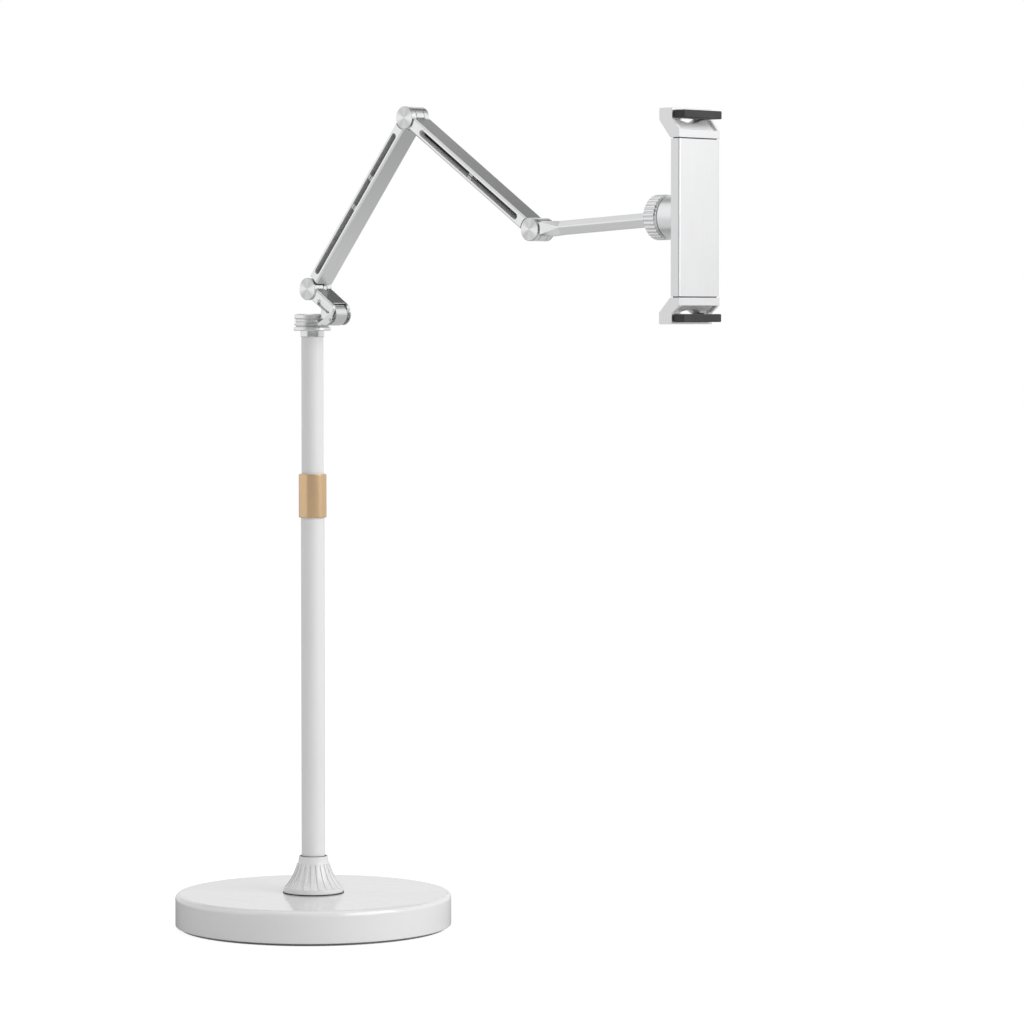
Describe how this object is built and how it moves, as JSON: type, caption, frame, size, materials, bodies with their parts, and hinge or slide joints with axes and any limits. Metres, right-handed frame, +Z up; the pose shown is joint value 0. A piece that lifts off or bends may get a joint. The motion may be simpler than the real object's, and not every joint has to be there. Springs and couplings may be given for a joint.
{
  "type": "adjustable tablet floor stand",
  "caption": "Floor stand with a weighted round base, telescoping pole, folding aluminium arm with friction hinges and a sprung tablet clamp on a ball joint.",
  "frame": {"origin": "centre of the base's underside, on the floor", "axes": "+Z up along the pole, +X the way the arm reaches, +Y along the hinge pins"},
  "size_m": [0.6573, 0.28, 0.8251],
  "materials": {
    "white_gloss": "gloss white enamel",
    "white_satin": "satin white powder coat",
    "white_plastic": "gloss white moulding",
    "aluminium_satin": "satin anodised",
    "aluminium_spun": "spun discs",
    "champagne": "brushed champagne anodised",
    "chrome": "polished",
    "steel": "plain",
    "cast_weight": "as cast",
    "plate_black": "black paint",
    "brass": "turned",
    "rubber_black": "moulded",
    "plastic_black": "moulded",
    "plastic_grey": "moulded"
  },
  "bodies": {
    "root": {"floor_pad": "rubber_black", "base_plate": "plate_black", "base_weight": "cast_weight", "base_cover": "white_gloss", "base_screws": "steel", "base_washer": "steel", "base_bolt": "steel", "flare_gasket": "rubber_black", "flare_collar": "white_plastic", "flare_seal": "rubber_black", "lower_tube": "white_satin", "tube_plug": "plastic_black", "tube_nipple": "brass", "collet": "plastic_black"},
    "lock_collar": {"lock_collar": "champagne"},
    "upper_pole": {"upper_tube": "white_satin", "tube_slider": "plastic_black", "upper_ferrule": "chrome", "swivel_flange": "aluminium_spun", "swivel_washer": "plastic_black", "swivel_ring": "aluminium_spun", "swivel_bolt": "aluminium_spun"},
    "swivel": {"swivel_bracket": "aluminium_satin", "strap_rivets": "steel"},
    "short_link": {"short_link": "aluminium_satin", "bracket_pin": "steel", "bracket_washers": "plastic_black", "short_hinge_pin": "steel", "short_hinge_nut": "steel", "short_hinge_caps": "aluminium_spun", "short_hinge_washers": "plastic_black"},
    "lower_arm": {"lower_arm": "aluminium_satin", "lower_arm_clips": "plastic_grey", "elbow_hinge_pin": "steel", "elbow_hinge_nut": "steel", "elbow_hinge_caps": "aluminium_spun", "elbow_hinge_washers": "plastic_black"},
    "upper_arm": {"upper_arm": "aluminium_satin", "upper_arm_clip": "plastic_grey", "wrist_hinge_pin": "steel", "wrist_hinge_nut": "steel", "wrist_hinge_caps": "aluminium_spun", "wrist_hinge_washers": "plastic_black"},
    "head_arm": {"head_arm": "aluminium_satin", "ball_stud": "steel"},
    "ball_tilt": {"ball_liner": "plastic_black"},
    "ball_pan": {"ball_seat": "plastic_black"},
    "clamp": {"ball_cup": "aluminium_satin", "cup_screws": "steel", "clamp_housing": "aluminium_satin", "clamp_core": "plastic_black"},
    "lock_nut": {"ball_lock_nut": "aluminium_satin"},
    "upper_jaw": {"upper_jaw": "aluminium_satin", "upper_jaw_pad": "rubber_black", "upper_jaw_rods": "steel", "upper_jaw_spring": "steel"},
    "lower_jaw": {"lower_jaw": "aluminium_satin", "lower_jaw_pad": "rubber_black", "lower_jaw_rods": "steel", "lower_jaw_spring": "steel"}
  },
  "joints": [
    {"name": "pole_slide", "type": "slide", "parent": "root", "child": "upper_pole", "axis": [0, 0, 1], "range_m": [-0.12, 0.16]},
    {"name": "collar_twist", "type": "hinge", "parent": "root", "child": "lock_collar", "pos_m": [0, 0, 0.438], "axis": [0, 0, 1], "range_deg": [0, 90]},
    {"name": "swivel_turn", "type": "hinge", "parent": "upper_pole", "child": "swivel", "pos_m": [0, 0, 0.61], "axis": [0, 0, 1], "continuous": true},
    {"name": "bracket_hinge", "type": "hinge", "parent": "swivel", "child": "short_link", "pos_m": [0.0311, 0, 0.6215], "axis": [0, -1, 0], "range_deg": [-75, 8]},
    {"name": "short_hinge", "type": "hinge", "parent": "short_link", "child": "lower_arm", "pos_m": [0.00502, 0, 0.6466], "axis": [0, -1, 0], "range_deg": [-13, 100]},
    {"name": "elbow_hinge", "type": "hinge", "parent": "lower_arm", "child": "upper_arm", "pos_m": [0.14195, 0, 0.8139], "axis": [0, 1, 0], "range_deg": [-85, 24]},
    {"name": "wrist_hinge", "type": "hinge", "parent": "upper_arm", "child": "head_arm", "pos_m": [0.30951, 0, 0.70216], "axis": [0, 1, 0], "range_deg": [-70, 90]},
    {"name": "ball_tilt", "type": "hinge", "parent": "head_arm", "child": "ball_tilt", "pos_m": [0.47567, 0, 0.71116], "axis": [0, -1, 0], "range_deg": [-12, 18]},
    {"name": "ball_pan", "type": "hinge", "parent": "ball_tilt", "child": "ball_pan", "pos_m": [0.47567, 0, 0.71116], "axis": [0, 0, 1], "range_deg": [-15, 15]},
    {"name": "ball_roll", "type": "hinge", "parent": "ball_pan", "child": "clamp", "pos_m": [0.47567, 0, 0.71116], "axis": [1, 0, 0], "range_deg": [-90, 90]},
    {"name": "nut_turn", "type": "hinge", "parent": "clamp", "child": "lock_nut", "pos_m": [0.47567, 0, 0.71116], "axis": [1, 0, 0], "range_deg": [0, 90]},
    {"name": "upper_jaw_slide", "type": "slide", "parent": "clamp", "child": "upper_jaw", "axis": [0, 0, 1], "range_m": [0, 0.03], "stiffness_N_per_m": 400, "springref_m": -0.02, "deforming": ["upper_jaw_spring"]},
    {"name": "lower_jaw_slide", "type": "slide", "parent": "clamp", "child": "lower_jaw", "axis": [0, 0, -1], "range_m": [0, 0.03], "stiffness_N_per_m": 400, "springref_m": -0.02, "deforming": ["lower_jaw_spring"]}
  ]
}
